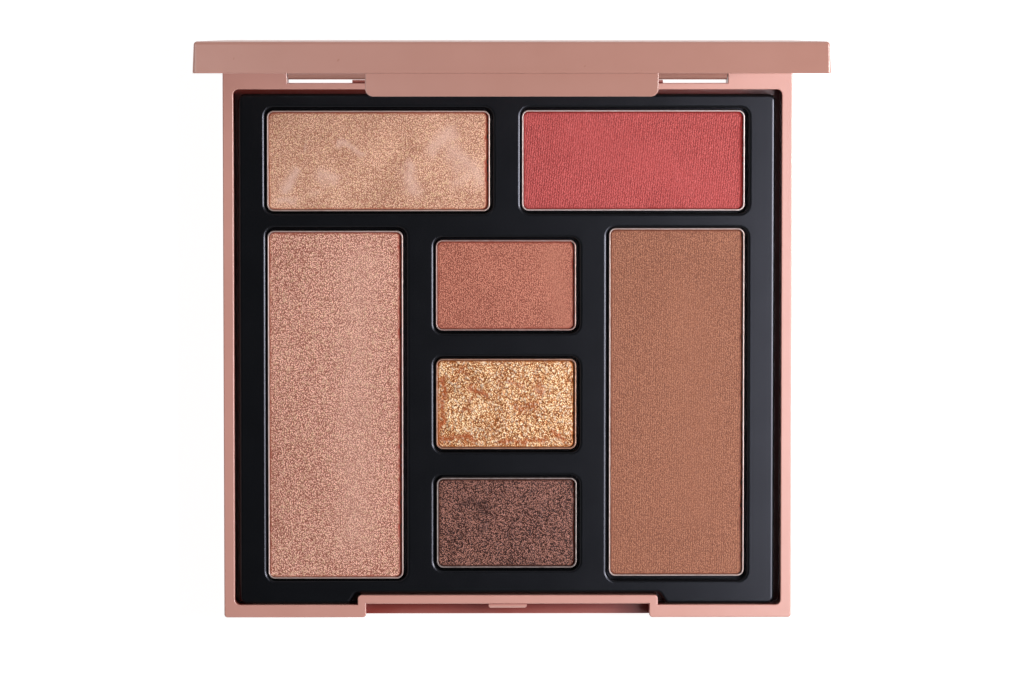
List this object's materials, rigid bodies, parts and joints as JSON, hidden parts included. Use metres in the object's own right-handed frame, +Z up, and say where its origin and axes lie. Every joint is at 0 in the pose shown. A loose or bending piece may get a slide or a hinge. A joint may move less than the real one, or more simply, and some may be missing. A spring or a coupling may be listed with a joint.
{
  "type": "hinged makeup palette",
  "caption": "Square hinged makeup palette with a mirrored lid, a latch tab, and a black insert of pressed-powder pans.",
  "frame": {"origin": "centre of the underside of the base, on the face it rests on", "axes": "+X to the right, +Y to the hinge at the rear, +Z up; the lid stands open at a right angle"},
  "size_m": [0.11, 0.1119, 0.1128],
  "materials": {
    "rose_plastic": "satin soft-touch rose plastic",
    "black_plastic": "satin black plastic",
    "pan_metal": "thin bright tinned pan",
    "pin_steel": "bright drawn steel",
    "mirror_glass": "silvered glass",
    "glue": "cured glue",
    "label_paper": "blank sticker",
    "powder_champagne": "pressed shimmer powder",
    "powder_coral": "pressed matte powder",
    "powder_rose_gold": "pressed shimmer powder",
    "powder_bronze": "pressed matte powder",
    "powder_terracotta": "pressed satin powder",
    "powder_gold": "pressed glitter powder",
    "powder_brown": "pressed metallic powder"
  },
  "bodies": {
    "base": {"base_shell": "rose_plastic", "base_label": "label_paper", "hinge_pin_left": "pin_steel", "hinge_pin_right": "pin_steel", "pan_insert": "black_plastic", "insert_glue_pads": "glue", "pan_glue_dots": "glue", "pan_rear_left": "pan_metal", "pan_rear_right": "pan_metal", "pan_tall_left": "pan_metal", "pan_tall_right": "pan_metal", "pan_centre_rear": "pan_metal", "pan_centre_middle": "pan_metal", "pan_centre_front": "pan_metal", "powder_rear_left": "powder_champagne", "powder_rear_right": "powder_coral", "powder_tall_left": "powder_rose_gold", "powder_tall_right": "powder_bronze", "powder_centre_rear": "powder_terracotta", "powder_centre_middle": "powder_gold", "powder_centre_front": "powder_brown"},
    "lid": {"lid_shell": "rose_plastic", "lid_frame": "rose_plastic", "mirror": "mirror_glass", "mirror_adhesive": "glue"}
  },
  "joints": [
    {"name": "lid_hinge", "type": "hinge", "parent": "base", "child": "lid", "pos_m": [0, 0.05215, 0.00745], "axis": [1, 0, 0], "range_deg": [0, 90]}
  ]
}
